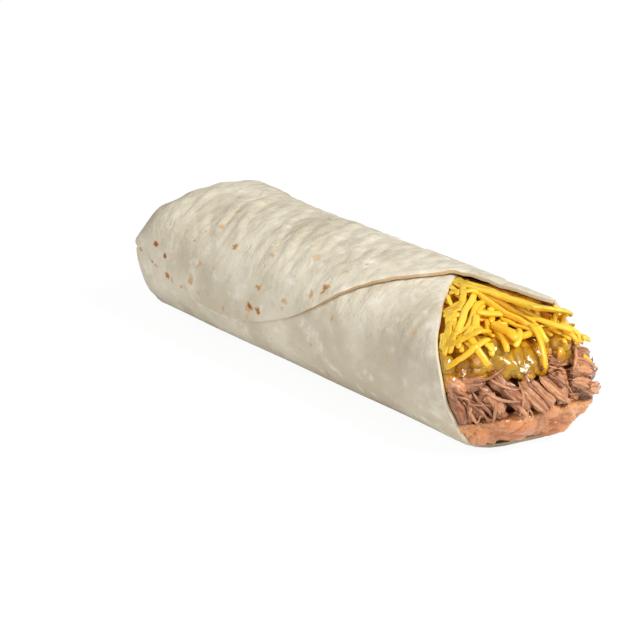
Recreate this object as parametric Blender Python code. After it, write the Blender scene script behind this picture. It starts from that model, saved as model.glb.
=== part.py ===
"""A burrito with one end folded shut and one end open, in five pieces.

A round flour tortilla is rolled round a layered filling: refried beans at the bottom, then
shredded beef, green chile sauce and shredded cheese. The roll lies along X with its open end
at +X. The tortilla is one sheet: it starts under the flap on top, goes down the near side (-Y),
under the filling, up the far side and over the top again, and its loose edge, the flap, lies on
the near side. At the back the sheet is pinched to a level crease.

Angles round the roll are in degrees. 0 is the top, 90 the near side, 180 the bottom and 270 the
far side, and the flap lies on the sheet past 360.
"""

import math

import bmesh
import bpy
from mathutils import Vector

# Driving dimensions, in metres
BODY_HEIGHT = 0.052
BODY_WIDTH = 0.0645
SHEET = 0.0017
FLAP_GAP = 0.0004
FILL_GAP = 0.0006

# The roll's cross-section: two half superellipses, cut level where the roll rests
TOP_FULLNESS = 2.35
BOTTOM_FULLNESS = 2.15
SAG = 0.0012
INNER_HALF_WIDTH = BODY_WIDTH / 2 - 1.5 * SHEET - FLAP_GAP / 2
INNER_TOP = BODY_HEIGHT - 2 * SHEET - FLAP_GAP
FLOOR_Z = SHEET

# The closed end: past its shoulder the roll rounds in to a level crease, slanting in plan.
# The shoulder comes further forward on top and on the far side.
SHOULDER_X = -0.0750
SHOULDER_TOP_LEAN = 0.0080
SHOULDER_SIDE_LEAN = 0.0060
CREASE_X = -0.0892
CREASE_SLANT = 0.12
CREASE_Z = 0.0300
CREASE_WIDTH_SHARE = 0.97
CREASE_SLIT_DEGREES = 0.9
CAP_ROWS_SHARE = 0.24
REACH_UNIT = 0.020

# How the layers of the sheet lie: the outer one lifts off before it passes the sheet's start
SHEET_START = -42.0
SHEET_START_AT_MOUTH = -34.0
LIFT_FROM = 268.0
LIFT_TO = 316.0

# The mouth's rim: (angle, x). Below RIM_CORNER it is the sheet's front edge, under the flap.
RIM_CORNER = -9
RIM = (
    (-45, 0.0360),
    (-25, 0.0440),
    (-9, 0.0510),
    (6, 0.0575),
    (22, 0.0632),
    (39, 0.0688),
    (58, 0.0742),
    (71, 0.0777),
    (84, 0.0812),
    (95, 0.0838),
    (106, 0.0860),
    (130, 0.0866),
    (157, 0.0852),
    (172, 0.0885),
    (188, 0.0912),
    (205, 0.0925),
    (230, 0.0915),
    (270, 0.0880),
    (295, 0.0835),
    (310, 0.0820),
    (323, 0.0845),
    (335, 0.0890),
)

# The flap's edge: (x, angle) from the crease to the mouth's far top corner
FLAP_EDGE = (
    (-0.0900, 74),
    (-0.0765, 84),
    (-0.0575, 95),
    (-0.0365, 98.5),
    (-0.0185, 95),
    (-0.0065, 89),
    (0.0045, 81),
    (0.0115, 73),
    (0.0195, 60.5),
    (0.0265, 46),
    (0.0365, 26),
    (0.0455, 8),
    (0.0515, -8),
    (0.0565, -12),
    (0.0685, -17),
    (0.0845, -22.5),
    (0.0890, -25),
)

# The filling's layers: height of each top at mid-width, its fall towards either side, its waves
LAYER_TOPS = {
    "refried_beans": (0.0170, 0.0025, 0.0035, 0.0008),
    "shredded_beef": (0.0305, 0.0035, 0.0030, 0.0009),
    "green_chile": (0.0395, 0.0015, 0.0090, 0.0007),
}
LAYER_GAP = 0.0005
CUTTER_MARGIN = 0.012

# The filling starts near the crease and ends in a bulging face in the mouth
BACK_REACH = 0.35
FACE_FROM = 0.72
FACE_SETBACK = 0.0012
FACE_CENTRE = (0.1020, 0.0060, 0.0225)
FACE_FLATNESS = 2.4
FACE_FLATTER_AT_FAR_SIDE = 3.6
HEAP_FROM_Z = 0.030
HEAP_RISE = 0.015
HEAP_PROUD = 0.0040
BUMP = 0.0014

SHEET_CELLS = (54, 22)
FILL_CELLS = (36, 26)
CUTTER_CELLS = (22, 12)

COLOURS = {
    "tortilla": (0.66, 0.56, 0.42, 1.0),
    "refried_beans": (0.50, 0.22, 0.09, 1.0),
    "shredded_beef": (0.30, 0.12, 0.06, 1.0),
    "green_chile": (0.42, 0.30, 0.03, 1.0),
    "shredded_cheese": (0.90, 0.52, 0.03, 1.0),
}
ROUGHNESS = {
    "tortilla": 0.75,
    "refried_beans": 0.45,
    "shredded_beef": 0.40,
    "green_chile": 0.25,
    "shredded_cheese": 0.45,
}


def smooth_step(value):
    value = min(1.0, max(0.0, value))
    return value * value * (3 - 2 * value)


def curve_through(points, at):
    """A smooth curve through (position, value) points, which never overshoots them."""
    if at <= points[0][0]:
        return points[0][1]
    if at >= points[-1][0]:
        return points[-1][1]
    steps = [b[0] - a[0] for a, b in zip(points, points[1:])]
    slopes = [(b[1] - a[1]) / h for a, b, h in zip(points, points[1:], steps)]
    tangents = [slopes[0]]
    for left, right in zip(slopes, slopes[1:]):
        tangents.append(2 * left * right / (left + right) if left * right > 0 else 0.0)
    tangents.append(slopes[-1])
    i = max(k for k in range(len(steps)) if points[k][0] <= at)
    t = (at - points[i][0]) / steps[i]
    low, high = points[i][1], points[i + 1][1]
    rise_in = tangents[i] * steps[i]
    rise_out = tangents[i + 1] * steps[i]
    return (
        low * (1 + 2 * t) * (1 - t) ** 2
        + rise_in * t * (1 - t) ** 2
        + high * t * t * (3 - 2 * t)
        - rise_out * t * t * (1 - t)
    )


def section(degrees):
    """The inner wall's (y, z) at an angle round the roll."""
    s = math.sin(math.radians(degrees))
    c = math.cos(math.radians(degrees))
    bottom = FLOOR_Z - SAG
    power = 2 / (TOP_FULLNESS if c > 0 else BOTTOM_FULLNESS)
    half = (INNER_TOP - bottom) / 2
    y = -math.copysign(abs(s) ** power, s) * INNER_HALF_WIDTH
    z = bottom + half + math.copysign(abs(c) ** power, c) * half
    return y, max(z, FLOOR_Z)


def shoulder_x(degrees):
    """Where the closed end starts to round in, at an angle round the roll."""
    turn = math.radians(degrees)
    return SHOULDER_X + SHOULDER_TOP_LEAN * math.cos(turn) - SHOULDER_SIDE_LEAN * math.sin(turn)


def wall_point(degrees, reach):
    """A point on the inner wall: reach is 0 at the crease, 1 at the shoulder, and goes on past it."""
    y, z = section(degrees)
    shoulder = shoulder_x(degrees)
    if reach >= 1:
        return Vector((shoulder + (reach - 1) * REACH_UNIT, y, z))
    turn = math.radians(max(CREASE_SLIT_DEGREES, 90 * reach))
    crease = CREASE_X + SHEET + CREASE_SLANT * (y + INNER_HALF_WIDTH)
    wide = CREASE_WIDTH_SHARE + (1 - CREASE_WIDTH_SHARE) * math.sin(turn)
    x = shoulder - (shoulder - crease) * math.cos(turn)
    return Vector((x, y * wide, CREASE_Z + (z - CREASE_Z) * math.sin(turn)))


def reach_to(degrees, x):
    return 1 + (x - shoulder_x(degrees)) / REACH_UNIT


def off_wall(degrees, reach, distance):
    """The wall point moved outwards along the wall's normal."""
    turn, step = 0.5, 0.015
    point = wall_point(degrees, reach)
    if point.z <= FLOOR_Z:
        return point - Vector((0, 0, distance))
    along = wall_point(degrees, reach + step) - wall_point(degrees, max(0.0, reach - step))
    round_it = wall_point(degrees + turn, reach) - wall_point(degrees - turn, reach)
    return point + along.cross(round_it).normalized() * -distance


def rim_x(degrees):
    return curve_through(RIM, degrees)


def flap_degrees(q):
    """The angle of the flap's edge at a share of the sheet's width, found by repeated trial."""
    degrees = 360.0
    for _ in range(8):
        degrees = 360 + curve_through(FLAP_EDGE, wall_point(degrees, reach_at(degrees, q)).x)
    return degrees


def roll_angle(p, q):
    """The angle of a sheet point: p runs from the sheet's start to the flap's edge, q to the mouth."""
    start = SHEET_START + (SHEET_START_AT_MOUTH - SHEET_START) * q
    return start + p * (flap_degrees(q) - start)


def reach_at(degrees, q):
    """How far along the wall a sheet point is: the same rows round the cap, then on to the rim."""
    if q <= CAP_ROWS_SHARE:
        return q / CAP_ROWS_SHARE
    share = (q - CAP_ROWS_SHARE) / (1 - CAP_ROWS_SHARE)
    return 1 + share * (reach_to(degrees, rim_x(degrees)) - 1)


def new_object(name, mesh):
    mesh.update()
    part = bpy.data.objects.new(name, mesh)
    bpy.context.scene.collection.objects.link(part)
    return part


def grid_mesh(name, cells):
    """A bmesh grid over the unit square, to be moved into shape, and its name for later."""
    shape = bmesh.new()
    bmesh.ops.create_grid(shape, x_segments=cells[0], y_segments=cells[1], size=0.5)
    bmesh.ops.translate(shape, verts=shape.verts, vec=(0.5, 0.5, 0))
    return shape, bpy.data.meshes.new(name)


def make_tortilla():
    shape, mesh = grid_mesh("tortilla", SHEET_CELLS)
    for vert in shape.verts:
        p, q = vert.co.x, vert.co.y
        degrees = roll_angle(p, q)
        lift = (SHEET + FLAP_GAP) * smooth_step((degrees - LIFT_FROM) / (LIFT_TO - LIFT_FROM))
        vert.co = off_wall(degrees, reach_at(degrees, q), lift)
    bmesh.ops.recalc_face_normals(shape, faces=shape.faces)
    outwards = sum((f.normal.z for f in shape.faces if f.calc_center_median().z < FLOOR_Z * 1.5), 0.0)
    if outwards > 0:
        bmesh.ops.reverse_faces(shape, faces=shape.faces)
    shape.to_mesh(mesh)
    tortilla = new_object("tortilla", mesh)
    thickness = tortilla.modifiers.new("sheet thickness", "SOLIDIFY")
    thickness.thickness = SHEET
    thickness.offset = 1.0
    thickness.use_even_offset = False
    return tortilla


def bumps(x, y, z):
    """A small fixed unevenness, from -1 to 1."""
    return (
        math.sin(310 * y + 170 * z + 1.3)
        + math.sin(230 * x - 290 * z + 0.4)
        + math.sin(410 * y - 190 * x + 2.1)
    ) / 3


def make_filling(name):
    """The whole filling as one closed body, from near the crease to its face in the mouth."""
    shape = bmesh.new()
    bmesh.ops.create_uvsphere(
        shape, u_segments=FILL_CELLS[0], v_segments=FILL_CELLS[1], radius=1.0
    )
    first_ring = 1 / FILL_CELLS[1]
    for vert in shape.verts:
        share = math.acos(max(-1.0, min(1.0, -vert.co.z))) / math.pi
        degrees = math.degrees(math.atan2(vert.co.x, vert.co.y)) % 360
        edge_reach = reach_to(degrees, mouth_x(degrees) - FACE_SETBACK)
        if share < first_ring / 2:
            vert.co = (wall_point(0, BACK_REACH) + wall_point(180, BACK_REACH)) / 2
        elif share <= FACE_FROM + 1e-6:
            along = (share - first_ring) / (FACE_FROM - first_ring)
            reach = BACK_REACH + (edge_reach - BACK_REACH) * along
            vert.co = off_wall(degrees, reach, -FILL_GAP)
        else:
            edge = off_wall(degrees, edge_reach, -FILL_GAP)
            vert.co = face_point(edge, (1 - share) / (1 - FACE_FROM))
    bmesh.ops.recalc_face_normals(shape, faces=shape.faces)
    mesh = bpy.data.meshes.new(name)
    shape.to_mesh(mesh)
    return new_object(name, mesh)


def mouth_x(degrees):
    """The edge of the opening: the flap's edge over the top, then the rim of the sheet."""
    over_top = [(angle, x) for x, angle in reversed(FLAP_EDGE) if angle < RIM_CORNER]
    outline = [*over_top, *[point for point in RIM if point[0] >= RIM_CORNER]]
    return curve_through(outline, degrees - 360 if degrees > outline[-1][0] else degrees)


def face_point(edge, spread):
    """A point of the filling's face: spread is 1 at the wall and 0 in the middle."""
    centre = Vector(FACE_CENTRE)
    flat = centre.lerp(edge, spread)
    side = max(0.0, edge.y / INNER_HALF_WIDTH)
    top = smooth_step((edge.z - HEAP_FROM_Z) / HEAP_RISE)
    flatness = FACE_FLATNESS + FACE_FLATTER_AT_FAR_SIDE * side * (1 - top)
    flat.x = centre.x + (edge.x - centre.x) * spread**flatness
    heap = smooth_step((flat.z - HEAP_FROM_Z) / HEAP_RISE)
    unevenness = BUMP * bumps(0, flat.y, flat.z)
    flat.x += math.sin(math.pi * spread) * (HEAP_PROUD * heap + unevenness)
    return flat


def layer_top(name, x, y):
    middle, near_fall, far_fall, wave = LAYER_TOPS[name]
    side = y / INNER_HALF_WIDTH
    fall = (near_fall if y < 0 else far_fall) * side * side
    return middle - fall + wave * bumps(x, y * 0.7, middle)


def make_layer_cutter(name, below, above):
    """A closed block from the top of one layer to the top of the next, with half the gap off each."""
    shape, mesh = grid_mesh(name, CUTTER_CELLS)
    raised = bmesh.ops.extrude_face_region(shape, geom=list(shape.faces))["geom"]
    upper = {v for v in raised if isinstance(v, bmesh.types.BMVert)}
    length = FACE_CENTRE[0] - CREASE_X + 2 * CUTTER_MARGIN
    width = 2 * (INNER_HALF_WIDTH + CUTTER_MARGIN)
    for vert in shape.verts:
        x = CREASE_X - CUTTER_MARGIN + vert.co.x * length
        y = (vert.co.y - 0.5) * width
        y_inside = max(-INNER_HALF_WIDTH, min(INNER_HALF_WIDTH, y))
        if vert in upper:
            z = layer_top(above, x, y_inside) - LAYER_GAP / 2 if above else 2 * BODY_HEIGHT
        else:
            z = layer_top(below, x, y_inside) + LAYER_GAP / 2 if below else -BODY_HEIGHT
        vert.co = Vector((x, y, z))
    bmesh.ops.recalc_face_normals(shape, faces=shape.faces)
    shape.to_mesh(mesh)
    cutter = new_object(name, mesh)
    cutter.hide_render = True
    cutter.display_type = "WIRE"
    return cutter


def make_layers():
    names = [*LAYER_TOPS, "shredded_cheese"]
    limits = [None, *LAYER_TOPS, None]
    layers = []
    for name, below, above in zip(names, limits, limits[1:]):
        layer = make_filling(name)
        cut = layer.modifiers.new("layer", "BOOLEAN")
        cut.operation = "INTERSECT"
        cut.solver = "EXACT"
        cut.object = make_layer_cutter(name + "_cutter", below, above)
        layers.append(layer)
    return layers


def finish_material(part):
    material = bpy.data.materials.new(part.name)
    material.use_nodes = True
    shader = material.node_tree.nodes["Principled BSDF"]
    shader.inputs["Base Color"].default_value = COLOURS[part.name]
    shader.inputs["Roughness"].default_value = ROUGHNESS[part.name]
    shader.inputs["Metallic"].default_value = 0.0
    part.data.materials.append(material)
    part.data.shade_smooth()
    part.data.set_sharp_from_angle(angle=math.radians(40))


def centre_on_origin(parts):
    """Moves everything so that the middle of the whole's base is the origin."""
    graph = bpy.context.evaluated_depsgraph_get()
    corners = []
    for part in parts:
        evaluated = part.evaluated_get(graph)
        mesh = evaluated.to_mesh()
        corners += [evaluated.matrix_world @ v.co for v in mesh.vertices]
        evaluated.to_mesh_clear()
    low = [min(c[i] for c in corners) for i in range(3)]
    high = [max(c[i] for c in corners) for i in range(3)]
    shift = Vector((-(low[0] + high[0]) / 2, -(low[1] + high[1]) / 2, -low[2]))
    for item in bpy.context.scene.objects:
        item.location = shift


def main():
    for old in list(bpy.data.objects):
        bpy.data.objects.remove(old, do_unlink=True)
    parts = [make_tortilla(), *make_layers()]
    for part in parts:
        finish_material(part)
    centre_on_origin(parts)


main()
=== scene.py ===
import bisect
import math
import random

import bmesh
import bpy
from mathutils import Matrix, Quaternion, Vector, noise
from mathutils.bvhtree import BVHTree


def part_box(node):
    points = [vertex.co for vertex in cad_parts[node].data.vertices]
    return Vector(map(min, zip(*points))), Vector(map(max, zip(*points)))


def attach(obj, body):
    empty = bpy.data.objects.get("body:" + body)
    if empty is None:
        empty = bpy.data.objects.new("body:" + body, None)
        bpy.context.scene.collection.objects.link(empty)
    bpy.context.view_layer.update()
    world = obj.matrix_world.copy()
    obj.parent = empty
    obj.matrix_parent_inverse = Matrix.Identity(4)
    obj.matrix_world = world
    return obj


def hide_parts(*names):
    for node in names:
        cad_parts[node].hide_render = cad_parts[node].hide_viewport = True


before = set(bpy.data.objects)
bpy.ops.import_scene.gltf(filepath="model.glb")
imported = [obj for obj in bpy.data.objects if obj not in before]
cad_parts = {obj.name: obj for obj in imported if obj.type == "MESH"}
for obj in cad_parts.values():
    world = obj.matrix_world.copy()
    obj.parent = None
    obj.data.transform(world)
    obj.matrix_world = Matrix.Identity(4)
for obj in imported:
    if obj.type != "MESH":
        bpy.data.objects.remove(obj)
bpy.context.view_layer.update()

# The tortilla's rolled body: a flour tortilla 1.7 mm thick, rolled round the filling in one
# sheet. Its section is rounder below than above, and flat only where it rests. These are the
# sizes of the roll and the two lines that its sheet is cut to, the mouth's rim and the flap.
SHEET = 0.0017
FLAP_GAP = 0.0004
INNER_HALF_WIDTH = 0.0295
INNER_TOP = 0.0482
FLOOR_Z = SHEET
SAG = 0.0012
END_BULGE = 0.0020
END_BULGE_X = -0.078
FLAP_EDGE_LIFT = 0.00045
EDGE_THICKNESS_SHARE = 0.74
TOP_FULLNESS = 2.35
BOTTOM_FULLNESS = 2.15
SHOULDER_X = -0.0750
SHOULDER_TOP_LEAN = 0.0080
SHOULDER_SIDE_LEAN = 0.0060
CREASE_X = -0.0892
CREASE_SLANT = 0.12
CREASE_Z = 0.0300
CREASE_WIDTH_SHARE = 0.97
REACH_UNIT = 0.020
CAP_ROWS_SHARE = 0.20
SHEET_START = -42.0
SHEET_START_AT_MOUTH = -34.0
LIFT_FROM = 268.0
LIFT_TO = 316.0
RIM_CORNER = -9
RIM = (
    (-45, 0.0360), (-25, 0.0440), (-9, 0.0510), (6, 0.0575), (22, 0.0632), (39, 0.0688),
    (58, 0.0742), (71, 0.0777), (84, 0.0812), (95, 0.0838), (106, 0.0860), (130, 0.0866),
    (157, 0.0852), (172, 0.0885), (188, 0.0912), (205, 0.0925), (230, 0.0915), (270, 0.0880),
    (295, 0.0835), (310, 0.0820), (323, 0.0845), (335, 0.0890),
)
FLAP_EDGE = (
    (-0.0900, 74), (-0.0765, 84), (-0.0575, 95), (-0.0365, 98.5), (-0.0185, 95), (-0.0065, 89),
    (0.0045, 81), (0.0115, 73), (0.0195, 60.5), (0.0265, 46), (0.0365, 26), (0.0455, 8),
    (0.0515, -8), (0.0565, -12), (0.0685, -17), (0.0845, -22.5), (0.0890, -25),
)

low_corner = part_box("tortilla")[0]
roll = Vector((low_corner.x + 0.0910, low_corner.y + INNER_HALF_WIDTH + 2 * SHEET + FLAP_GAP, 0))


def smooth_step(value):
    value = min(1.0, max(0.0, value))
    return value * value * (3 - 2 * value)


def curve_through(points, at):
    """A smooth curve through (position, value) points, which never overshoots them."""
    if at <= points[0][0]:
        return points[0][1]
    if at >= points[-1][0]:
        return points[-1][1]
    i = max(k for k in range(len(points) - 1) if points[k][0] <= at)
    slopes = []
    for k in (i - 1, i, i + 1):
        a, b = points[max(0, min(k, len(points) - 2))], points[max(1, min(k + 1, len(points) - 1))]
        slopes.append((b[1] - a[1]) / (b[0] - a[0]))
    before, here, after = slopes
    leave = 2 * before * here / (before + here) if before * here > 0 else 0.0
    arrive = 2 * here * after / (here + after) if here * after > 0 else 0.0
    step = points[i + 1][0] - points[i][0]
    t = (at - points[i][0]) / step
    low, high = points[i][1], points[i + 1][1]
    return (
        low * (1 + 2 * t) * (1 - t) ** 2 + leave * step * t * (1 - t) ** 2
        + high * t * t * (3 - 2 * t) - arrive * step * t * t * (1 - t)
    )


def section(degrees):
    """The inner wall's (y, z) at an angle round the roll: 0 is the top, 90 the near side."""
    s = math.sin(math.radians(degrees))
    c = math.cos(math.radians(degrees))
    bottom = FLOOR_Z - SAG
    power = 2 / (TOP_FULLNESS if c > 0 else BOTTOM_FULLNESS)
    half = (INNER_TOP - bottom) / 2
    y = -math.copysign(abs(s) ** power, s) * INNER_HALF_WIDTH
    z = bottom + half + math.copysign(abs(c) ** power, c) * half
    return y, max(z, FLOOR_Z)


def shoulder_x(degrees):
    turn = math.radians(degrees)
    return SHOULDER_X + SHOULDER_TOP_LEAN * math.cos(turn) - SHOULDER_SIDE_LEAN * math.sin(turn)


def wall_point(degrees, reach):
    """A point on the inner wall: reach is 0 at the crease, 1 at the shoulder, and goes on past it."""
    y, z = section(degrees)
    shoulder = shoulder_x(degrees)
    if reach >= 1:
        return Vector((shoulder + (reach - 1) * REACH_UNIT, y, z))
    turn = math.radians(max(0.9, 90 * reach))
    crease = CREASE_X + SHEET + CREASE_SLANT * (y + INNER_HALF_WIDTH)
    wide = CREASE_WIDTH_SHARE + (1 - CREASE_WIDTH_SHARE) * math.sin(turn)
    x = shoulder - (shoulder - crease) * math.cos(turn)
    return Vector((x, y * wide, CREASE_Z + (z - CREASE_Z) * math.sin(turn)))


def off_wall(degrees, reach, distance):
    """The wall point moved outwards along the wall's normal."""
    turn, step = 0.5, 0.015
    point = wall_point(degrees, reach)
    if point.z <= FLOOR_Z:
        return point - Vector((0, 0, distance))
    along = wall_point(degrees, reach + step) - wall_point(degrees, max(0.0, reach - step))
    round_it = wall_point(degrees + turn, reach) - wall_point(degrees - turn, reach)
    return point + along.cross(round_it).normalized() * -distance


def reach_at(degrees, q):
    """How far along the wall a sheet point is: the same rows round the cap, then on to the rim."""
    if q <= CAP_ROWS_SHARE:
        return q / CAP_ROWS_SHARE
    share = (q - CAP_ROWS_SHARE) / (1 - CAP_ROWS_SHARE)
    return 1 + share * (curve_through(RIM, degrees) - shoulder_x(degrees)) / REACH_UNIT


def flap_degrees(q):
    """The angle of the flap's edge at a share of the sheet's width, found by repeated trial."""
    degrees = 360.0
    for _ in range(8):
        degrees = 360 + curve_through(FLAP_EDGE, wall_point(degrees, reach_at(degrees, q)).x)
    return degrees


def bumpy(x, y, z, size, seed=0.0):
    """Smooth unevenness from about -1 to 1, with lumps of about the given size."""
    return 1.6 * noise.noise(Vector((x / size + seed, y / size - seed, z / size + 2 * seed)))


# Each wrinkle that crosses the top: where along the roll, its middle angle, how far it reaches
# round, its lean along the roll, and its height
WRINKLES = (
    (-0.050, 22, 30, 0.008, 0.00080), (-0.044, 12, 34, 0.010, 0.00095),
    (-0.036, -4, 26, 0.007, 0.00060), (-0.024, 10, 38, 0.010, 0.00070),
    (-0.012, 20, 30, 0.009, 0.00080), (-0.002, 0, 34, 0.008, 0.00060),
    (0.009, -6, 30, 0.008, 0.00055), (0.019, 4, 26, 0.006, 0.00050),
    (0.031, -12, 22, 0.006, 0.00045), (-0.058, 34, 24, 0.007, 0.00060),
    (-0.068, 18, 22, 0.004, 0.00050), (-0.058, -30, 34, 0.006, 0.00050),
    (-0.030, -44, 30, 0.006, 0.00045), (0.002, -50, 34, 0.008, 0.00045),
    (0.030, -56, 30, 0.006, 0.00040), (0.055, -48, 26, 0.004, 0.00035),
)


def sheet_relief(degrees, reach, p, q):
    """How far the sheet stands off its smooth shape: bulges, wrinkles, and pleats at the crease."""
    point = wall_point(degrees, reach)
    around = (degrees + 180) % 360 - 180
    relief = 0.00045 * bumpy(point.x, point.y, point.z, 0.034)
    end_bulge = math.exp(-(((point.x - END_BULGE_X) / 0.015) ** 2))
    relief += END_BULGE * end_bulge * smooth_step((point.z - 0.030) / 0.012)
    on_top = 0.15 + 0.85 * smooth_step((point.z - 0.028) / 0.014)
    ridges = 1 - 2 * abs(bumpy(point.x + 0.12 * point.y, point.y * 0.30, point.z * 0.30, 0.0052, 3.0))
    relief += 0.00022 * on_top * ridges
    relief += 0.00014 * on_top * bumpy(point.x, point.y * 0.4, point.z * 0.4, 0.0028, 5.0)
    for x, middle, spread, lean, height in WRINKLES:
        round_it = (around - middle) / spread
        if abs(round_it) > 1.6:
            continue
        off = point.x - x - lean * round_it - 0.0022 * bumpy(point.x, point.y, point.z, 0.012, x * 90)
        fade = math.exp(-round_it * round_it * 2.2)
        ridge = math.exp(-((off / 0.0013) ** 2))
        valley = math.exp(-(((off - 0.0026) / 0.0016) ** 2))
        relief += height * fade * (ridge - 0.7 * valley)
    if reach < 1.6:
        fold = math.sin(point.y * 540 + 1.6 * bumpy(point.x, point.y, 0, 0.016, 5.0))
        relief += 0.00034 * fold * smooth_step((1.6 - reach) / 1.2) * smooth_step(reach * 4)
    resting = smooth_step((point.z - FLOOR_Z - 0.0006) / 0.006)
    mouth = 0.3 + 0.7 * smooth_step((1 - q) / 0.06)
    flap_edge = smooth_step((p - 0.965) / 0.035)
    flap_edge *= smooth_step((q - 0.20) / 0.2) * smooth_step((0.90 - q) / 0.06)
    return relief * resting * mouth + FLAP_EDGE_LIFT * flap_edge


# The sheet's grid: p runs round the roll from the hidden edge to the flap's edge, and q runs
# along it from the crease to the mouth. Each point is then put on the wall or lifted over it.
SHEET_CELLS = (210, 200)
shape = bmesh.new()
bmesh.ops.create_grid(shape, x_segments=SHEET_CELLS[0], y_segments=SHEET_CELLS[1], size=0.5)
thickness_share = shape.verts.layers.deform.verify()
along_flap = shape.verts.layers.float.new("flap")
flap_ends = {}
for vert in shape.verts:
    p, q = vert.co.x + 0.5, vert.co.y + 0.5
    if round(q, 5) not in flap_ends:
        flap_ends[round(q, 5)] = flap_degrees(q)
    begin = SHEET_START + (SHEET_START_AT_MOUTH - SHEET_START) * q
    degrees = begin + p * (flap_ends[round(q, 5)] - begin)
    reach = reach_at(degrees, q)
    to_edge = (flap_ends[round(q, 5)] - degrees) / 360 * 0.175
    to_rim = (1 - q) * 0.16
    edge_wave = 0.00045 * bumpy(degrees / 60, q * 8, 0, 0.35, 7.0)
    if q > CAP_ROWS_SHARE:
        reach += edge_wave / REACH_UNIT * smooth_step((q - 0.9) / 0.1)
    lift = (SHEET + FLAP_GAP) * smooth_step((degrees - LIFT_FROM) / (LIFT_TO - LIFT_FROM))
    vert.co = off_wall(degrees, reach, lift + sheet_relief(degrees, reach, p, q)) + roll
    full = smooth_step(min(to_edge, to_rim) / 0.0025)
    vert[thickness_share][0] = EDGE_THICKNESS_SHARE + (1 - EDGE_THICKNESS_SHARE) * full
    vert[along_flap] = smooth_step((p - 0.5) / 0.4)
bmesh.ops.recalc_face_normals(shape, faces=shape.faces)
if sum(face.normal.z for face in shape.faces if face.calc_center_median().z < FLOOR_Z * 1.5) > 0:
    bmesh.ops.reverse_faces(shape, faces=shape.faces)


# A finish is one material. Its shader's fixed numbers are set once, and what varies over the
# surface is worked out from fields, which are sockets that arithmetic can be done on.
def feed(socket, value):
    if isinstance(value, Field):
        socket.id_data.links.new(value.socket, socket)
    elif value is not None:
        socket.default_value = value


class Field:
    """A value over a surface: sums and products of fields add Math nodes to the material."""

    def __init__(self, socket):
        self.socket = socket

    def math(self, operation, first, second=None):
        node = self.socket.id_data.nodes.new("ShaderNodeMath")
        node.operation = operation
        feed(node.inputs[0], first)
        feed(node.inputs[1], second)
        return Field(node.outputs[0])

    def __add__(self, other):
        return self.math("ADD", self, other)

    def __radd__(self, other):
        return self.math("ADD", other, self)

    def __mul__(self, other):
        return self.math("MULTIPLY", self, other)

    def __rmul__(self, other):
        return self.math("MULTIPLY", other, self)

    def or_more(self, other):
        return self.math("MAXIMUM", self, other)


class Finish:
    def __init__(self, name, **constants):
        self.material = bpy.data.materials.new(name)
        self.material.use_nodes = True
        self.nodes = self.material.node_tree.nodes
        self.shader = self.nodes["Principled BSDF"]
        for socket, value in constants.items():
            self.shader.inputs[socket.replace("_", " ")].default_value = value

    def node(self, kind, settings, sockets, output=0):
        """Any node by its type, with its settings, then the values or links of its sockets."""
        node = self.nodes.new(kind)
        for name, value in settings.items():
            setattr(node, name, value)
        for name, value in sockets.items():
            feed(node.inputs[name], value)
        return Field(node.outputs[output])

    def place(self, scale=(1, 1, 1)):
        """A point's place on the piece, in metres, stretched by the scale along each axis."""
        where = self.node("ShaderNodeTexCoord", {}, {}, "Object")
        if tuple(scale) == (1, 1, 1):
            return where
        return self.node("ShaderNodeMapping", {}, {"Vector": where, "Scale": scale})

    def attribute(self, name, output="Fac"):
        return self.node("ShaderNodeAttribute", {"attribute_name": name}, {}, output)

    def noise(self, where, scale, detail=2.0, rough=0.5, twist=0.0):
        sockets = {"Vector": where, "Scale": scale, "Detail": detail}
        return self.node("ShaderNodeTexNoise", {}, {**sockets, "Roughness": rough, "Distortion": twist})

    def cells(self, where, scale, output="Distance"):
        return self.node("ShaderNodeTexVoronoi", {}, {"Vector": where, "Scale": scale}, output)

    def axis(self, where, name):
        return self.node("ShaderNodeSeparateXYZ", {}, {"Vector": where}, name)

    def ramp(self, value, low, high, to_low=0.0, to_high=1.0):
        """The value eased from one range to another and held at its ends."""
        sockets = {"Value": value, "From Min": low, "From Max": high, "To Min": to_low, "To Max": to_high}
        return self.node("ShaderNodeMapRange", {"interpolation_type": "SMOOTHSTEP"}, sockets)

    def blend(self, first, second, share):
        """One colour turning into another as the share goes from 0 to 1."""
        node = self.nodes.new("ShaderNodeMix")
        node.data_type = "RGBA"
        feed(node.inputs[0], share)
        feed(node.inputs[6], first)
        feed(node.inputs[7], second)
        return Field(node.outputs[2])

    def distance(self, where, point):
        sockets = {0: where, 1: tuple(point)}
        return self.node("ShaderNodeVectorMath", {"operation": "DISTANCE"}, sockets, "Value")

    def bump(self, height, distance, strength=1.0, over=None):
        sockets = {"Height": height, "Distance": distance, "Strength": strength, "Normal": over}
        return self.node("ShaderNodeBump", {}, sockets)

    def set(self, **fields):
        for socket, value in fields.items():
            feed(self.shader.inputs[socket.replace("_", " ")], value)


def srgb(red, green, blue):
    """A colour written as 0 to 255 on a screen, as the shader takes it."""
    shares = [value / 255 for value in (red, green, blue)]
    return tuple(v / 12.92 if v <= 0.04045 else ((v + 0.055) / 1.055) ** 2.4 for v in shares) + (1.0,)


def finish_piece(shape, name, finish, node=None):
    """Makes a piece of the shape, gives it its finish, and puts it on the roll's body."""
    mesh = bpy.data.meshes.new(name)
    shape.to_mesh(mesh)
    shape.free()
    mesh.materials.append(finish.material)
    mesh.shade_smooth()
    piece = bpy.data.objects.new(name, mesh)
    bpy.context.scene.collection.objects.link(piece)
    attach(piece, "root")
    if node:
        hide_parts(node)
    return piece


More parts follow.
